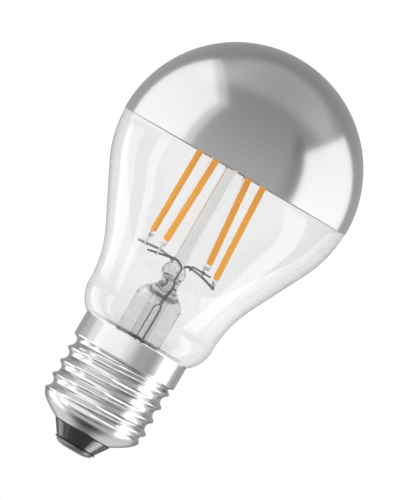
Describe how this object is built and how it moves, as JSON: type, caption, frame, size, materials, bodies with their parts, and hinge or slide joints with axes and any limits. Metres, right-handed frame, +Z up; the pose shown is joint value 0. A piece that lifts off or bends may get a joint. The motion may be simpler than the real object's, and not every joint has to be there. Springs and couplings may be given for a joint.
{
  "type": "silver crown bulb",
  "caption": "Clear pear-shaped bulb with a silvered crown, upright amber LED strips in a wire cage on a glass stem, and a threaded metal screw cap with a black insulator and a centre contact.",
  "frame": {"origin": "tip of the centre contact, on the lamp axis", "axes": "+Z up the lamp axis from the cap to the crown; +X to the right in the front view; +Y to the back; the filaments' cage stands as in that view"},
  "size_m": [0.06, 0.06, 0.1066],
  "materials": {
    "bulb_glass": "clear blown glass",
    "stem_glass": "clear lead glass, fire-polished",
    "silver_coat": "satin silver mirror",
    "nickel_wire": "nickel wire, satin",
    "seal_wire": "copper-clad seal wire, red oxide",
    "copper_wire": "bare copper wire",
    "strip_substrate": "clear strip",
    "led_chip": "small bright chips",
    "amber_coat": "amber silicone with phosphor",
    "clip_metal": "stamped thin sheet",
    "cap_metal": "rolled sheet, satin",
    "black_glass": "black moulded glass, glossy",
    "contact_metal": "tinned stamping",
    "cement": "baked cement, matt",
    "board_laminate": "white solder mask",
    "can_metal": "drawn can",
    "tinned_wire": "tinned wire",
    "ferrite": "ferrite, matt",
    "enamelled_copper": "enamelled wire",
    "resistor_body": "green ceramic coat",
    "package_plastic": "black moulding compound"
  },
  "bodies": {
    "root": {"glass_envelope": "bulb_glass", "mirror_crown": "silver_coat", "stem_glass": "stem_glass", "exhaust_tube": "stem_glass", "centre_post": "stem_glass", "seal_wire_left": "seal_wire", "seal_wire_right": "seal_wire", "copper_lead_left": "copper_wire", "copper_lead_right": "copper_wire", "nickel_lead_left": "nickel_wire", "nickel_lead_right": "nickel_wire", "jumper_left": "nickel_wire", "jumper_right": "nickel_wire", "head_wire_lower": "nickel_wire", "head_wire_upper": "nickel_wire", "cap_shell": "cap_metal", "cap_insulator": "black_glass", "centre_contact": "contact_metal", "cap_cement": "cement", "driver_board": "board_laminate", "smoothing_capacitor": "can_metal", "capacitor_wires": "tinned_wire", "choke_core": "ferrite", "choke_winding": "enamelled_copper", "fuse_resistor": "resistor_body", "bridge_rectifier": "package_plastic", "driver_chip": "package_plastic", "sense_resistors": "package_plastic", "contact_wire": "tinned_wire", "shell_wire": "tinned_wire", "filament_1_substrate": "strip_substrate", "filament_1_chips": "led_chip", "filament_1_phosphor": "amber_coat", "filament_1_lower_clip": "clip_metal", "filament_1_upper_clip": "clip_metal", "filament_2_substrate": "strip_substrate", "filament_2_chips": "led_chip", "filament_2_phosphor": "amber_coat", "filament_2_lower_clip": "clip_metal", "filament_2_upper_clip": "clip_metal", "filament_3_substrate": "strip_substrate", "filament_3_chips": "led_chip", "filament_3_phosphor": "amber_coat", "filament_3_lower_clip": "clip_metal", "filament_3_upper_clip": "clip_metal", "filament_4_substrate": "strip_substrate", "filament_4_chips": "led_chip", "filament_4_phosphor": "amber_coat", "filament_4_lower_clip": "clip_metal", "filament_4_upper_clip": "clip_metal"}
  },
  "joints": []
}
